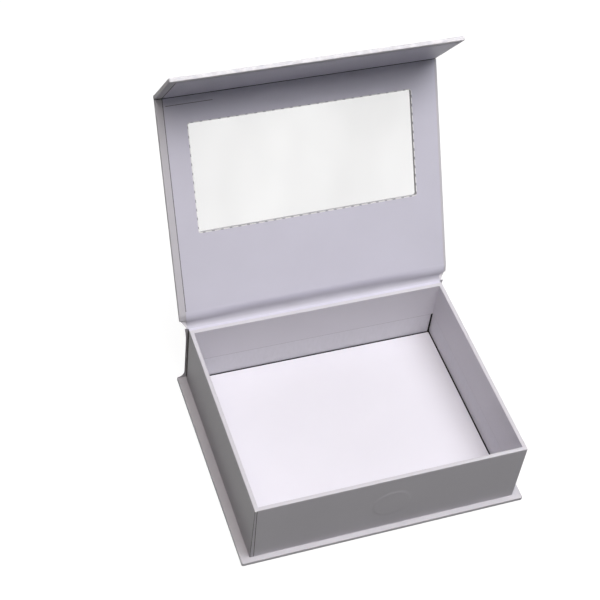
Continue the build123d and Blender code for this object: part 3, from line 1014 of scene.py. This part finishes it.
def make_lid_hinge():
    """The two plies between the spine's top and the lid's hinge edge."""
    spine_low, spine_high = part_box("spine_wrap")
    top, back = spine_high.z, spine_high.y
    side = LID_WIDTH / 2
    end_y, end_z = on_lid(LID_START, -PANEL)
    run_y, run_z = end_y - back, end_z - top
    narrow = TRAY_SIDE + LID_FLARE
    outer = [
        (narrow, back, top),
        (narrow + 0.2 * MM, back + 0.12 * run_y, top + 0.01 * run_z),
        (narrow + 0.7 * MM, back + 0.34 * run_y, top + 0.09 * run_z),
        (narrow + 1.3 * MM, back + 0.60 * run_y, top + 0.32 * run_z),
        (narrow + 2.2 * MM, back + 0.84 * run_y, top + 0.68 * run_z),
        (side, end_y, end_z),
    ]
    strip("lid_hinge_paper", outer)
    even_out(23)
    face_outward(Vector((0, 1, -1)))
    thicken()
    smooth()
    start, end = (0, back, top), (0, *on_lid(LID_START, -PANEL / 2))
    cover("lid_hinge_wrap", ("tray", "lid", start, end), "wrap_paper", WRAP)

    half = side - LINER_INSET
    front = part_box("spine_board")[1].y - 0.35 * MM
    inner = [
        (front, top + 0.02 * MM),
        (front + 0.45 * MM, top + 0.20 * MM),
        (front + 1.05 * MM, top + 0.44 * MM),
        (front + 1.95 * MM, top + 0.80 * MM),
        (front + 2.65 * MM, top + 1.32 * MM),
        (front + 3.15 * MM, top + 1.98 * MM),
        (front + 3.46 * MM, top + 2.62 * MM),
        on_lid(2.5 * MM, -1.64 * MM),
        on_lid(3.4 * MM, -1.30 * MM),
        on_lid(4.4 * MM, -0.90 * MM),
        on_lid(5.4 * MM, -0.51 * MM),
        on_lid(6.3 * MM, -0.20 * MM),
        on_lid(7.1 * MM, -0.05 * MM),
        on_lid(ROLL_START, 0),
    ]
    strip("lid_hinge_lining", [(half, y, z) for y, z in inner])
    even_out(31)
    for row, offset in (
        (4, Vector((0, -0.10 * MM, 0.12 * MM))),
        (5, Vector((0, -0.30 * MM, 0.28 * MM))),
        (6, Vector((0, -0.55 * MM, 0.36 * MM))),
        (7, LID_INWARD * 0.85 * MM),
        (8, LID_INWARD * 0.72 * MM),
        (9, LID_INWARD * 0.52 * MM),
        (10, LID_INWARD * 0.32 * MM),
        (11, LID_INWARD * 0.14 * MM),
        (12, LID_INWARD * 0.04 * MM),
    ):
        pull_row(Vector((0, *inner[row])), offset)
    roll_top = on_lid(ROLL_START, 0)[1] - top + CLOSE
    for lowest, highest, shift in (
        (-CLOSE, 1.5 * MM, -0.4 * MM),
        (2.4 * MM, 4.2 * MM, LINER_SHIFT / 2),
        (4.2 * MM, roll_top, LINER_SHIFT),
    ):
        pick_points(
            lambda place: place.x > half - NEAR and lowest < place.z - top < highest
        )
        bpy.ops.transform.translate(value=(shift, 0, 0))
    face_outward(Vector((0, -1, 1)))
    thicken()
    smooth(radians(80))
    cover("lid_hinge_liner", ("tray", "lid", start, end), "liner_paper", GROOVE_SHADED_LINER)


def make_flap_hinge():
    """The two plies of the crease between lid and flap."""
    side = LID_WIDTH / 2
    outer = [(side, *on_lid(LID_END, -PANEL)), (side, *on_lid(LID_END + FLAP_START, -PANEL))]
    steps = 8
    for step in range(1, steps):
        turn = LID_TILT + (FLAP_TILT - LID_TILT) * step / steps
        place = CREASE - Vector((0, -sin(turn), cos(turn))) * PANEL
        outer.append((side, place.y, place.z))
    outer += [(side, *on_flap(0, -PANEL)), (side, *on_flap(FLAP_START, -PANEL))]
    strip("flap_hinge_paper", outer)
    even_out(11)
    face_outward(Vector((0, 1, 1)))
    thicken()
    smooth(radians(60))
    start, end = (0, *on_lid(LID_END, 0)), (0, *on_flap(FLAP_START, 0))
    turned = (0, *on_lid(LID_END, -PANEL)), (0, *on_flap(FLAP_START, -PANEL))
    cover("flap_hinge_wrap", ("lid", "flap", *turned), "wrap_paper", WRAP_FOLD)

    half = side - LINER_INSET
    inner = [
        (half, *on_lid(LID_END, 0)),
        (half, *on_lid(LID_END + 0.08 * MM, -0.22 * MM)),
        (half, *on_lid(LID_END + 0.2 * MM, -0.42 * MM)),
        (half, *on_flap(0.15 * MM, -0.35 * MM)),
        (half, *on_flap(0.24 * MM, -0.2 * MM)),
        (half, *on_flap(FLAP_START, 0)),
    ]
    strip("flap_hinge_lining", inner)
    even_out(11)
    reach_right()
    face_outward(Vector((0, -1, 0)))
    thicken()
    smooth()
    # the crease's liner ply is painted dark: painted shade in the crease
    cover("flap_hinge_liner", ("lid", "flap", start, end), "liner_paper", LINER_CREASE_SHADE)


make_base_wrap()
make_tray_wrap()
make_floor_card()
make_spine_wrap()
make_spine_liner()
make_lid_wrap()
make_window_film()
make_lid_liner()
make_flap_wrap()
make_flap_liner()
make_lid_hinge()
make_flap_hinge()

TAPE = kraft_tape()
NICKEL = nickel()
INSIDE_FINISHES = {
    # the floor board under the card takes the near-black painted shade of the gap
    "tray_floor_board": SHADED_GAP_BOARD,
    "left_wall_board": SIDE_WALL_BOARD,
    "right_wall_board": SIDE_WALL_BOARD,
    "front_wall_board": END_WALL_BOARD,
    "rear_wall_board": END_WALL_BOARD,
}
for name, node in frame["nodes"].items():
    finish = INSIDE_FINISHES.get(name, BARE_BOARD)
    if name.startswith("corner_stay"):
        finish = TAPE
    elif name.endswith("_magnet"):
        finish = NICKEL
    node.data.materials.clear()
    node.data.materials.append(finish)

# ---------------------------------------------------------------- studio

scene = bpy.context.scene
scene.view_settings.view_transform = "Standard"
scene.view_settings.look = "None"

AIM = Vector((-14.33, 54.87, 60.0)) * MM  # where the camera looks
DISTANCE = 810.0 * MM
LOOK_AZIMUTH = radians(24.04)  # from +Y towards +X
LOOK_DOWN = radians(48.03)
ROLL = radians(7.57)
LENS = 88.81  # millimetres, on a 36 mm sensor
BACKDROP_RADIUS = 5.5
look = Vector(
    (sin(LOOK_AZIMUTH) * cos(LOOK_DOWN), cos(LOOK_AZIMUTH) * cos(LOOK_DOWN), -sin(LOOK_DOWN))
)
camera = bpy.data.objects.new("camera", bpy.data.cameras.new("camera"))
camera.data.lens = LENS
camera.data.sensor_width = 36
camera.data.clip_start = 0.01
camera.location = AIM - look * DISTANCE
camera.rotation_mode = "QUATERNION"
camera.rotation_quaternion = look.to_track_quat("-Z", "Y") @ Quaternion((0, 0, 1), ROLL)
scene.collection.objects.link(camera)
scene.camera = camera

bpy.ops.object.select_all(action="DESELECT")
bpy.ops.mesh.primitive_plane_add(size=12, location=(0, 0, -0.3 * MM))
floor = bpy.context.object
floor.name = "floor"
floor.data.materials.append(floor_paint())
floor.visible_diffuse = False

bpy.ops.object.select_all(action="DESELECT")
bpy.ops.mesh.primitive_cylinder_add(
    vertices=64, radius=BACKDROP_RADIUS, depth=9, end_fill_type="NOTHING", location=(0, 0, 4.4)
)
backdrop = bpy.context.object
backdrop.name = "backdrop"
backdrop.data.materials.append(floor.data.materials[0])
backdrop.visible_diffuse = False
backdrop.visible_glossy = False
backdrop.visible_shadow = False

world = bpy.data.worlds.new("studio")
world.use_nodes = True
world.node_tree.nodes["Background"].inputs["Color"].default_value = (1.0, 0.98, 0.97, 1)
world.node_tree.nodes["Background"].inputs["Strength"].default_value = 0.012
scene.world = world


def softbox(name, place, aim, size, power, colour):
    """A soft light, size wide and deep."""
    light = bpy.data.lights.new(name, "AREA")
    light.shape = "RECTANGLE"
    light.size, light.size_y = size
    light.energy = power
    light.color = colour
    lamp = bpy.data.objects.new(name, light)
    lamp.location = place
    lamp.rotation_mode = "QUATERNION"
    lamp.rotation_quaternion = (Vector(aim) - Vector(place)).to_track_quat("-Z", "Y")
    scene.collection.objects.link(lamp)


softbox("key_softbox", (0.27, -0.32, 1.35), (0, 0, 0.03), (1.1, 0.8), 15.6, (0.985, 0.99, 1.0))
softbox("overhead_fill", (0, 0, 1.4), (0, 0, 0), (2.0, 2.0), 5.4, (1.0, 0.995, 1.0))
softbox("warm_top_light", (-0.27, -0.30, 1.4), (0, 0, 0.03), (0.5, 0.8), 5.4, (1.0, 0.90, 0.80))
softbox("warm_side_light", (-1.2, -0.5, 0.35), (0, 0, 0.05), (0.8, 0.8), 0.15, (1.0, 0.80, 0.70))
softbox("rear_fill", (0.3, 1.5, 0.5), (0, 0, 0.05), (1.2, 1.2), 2.5, (1.0, 1.0, 1.0))
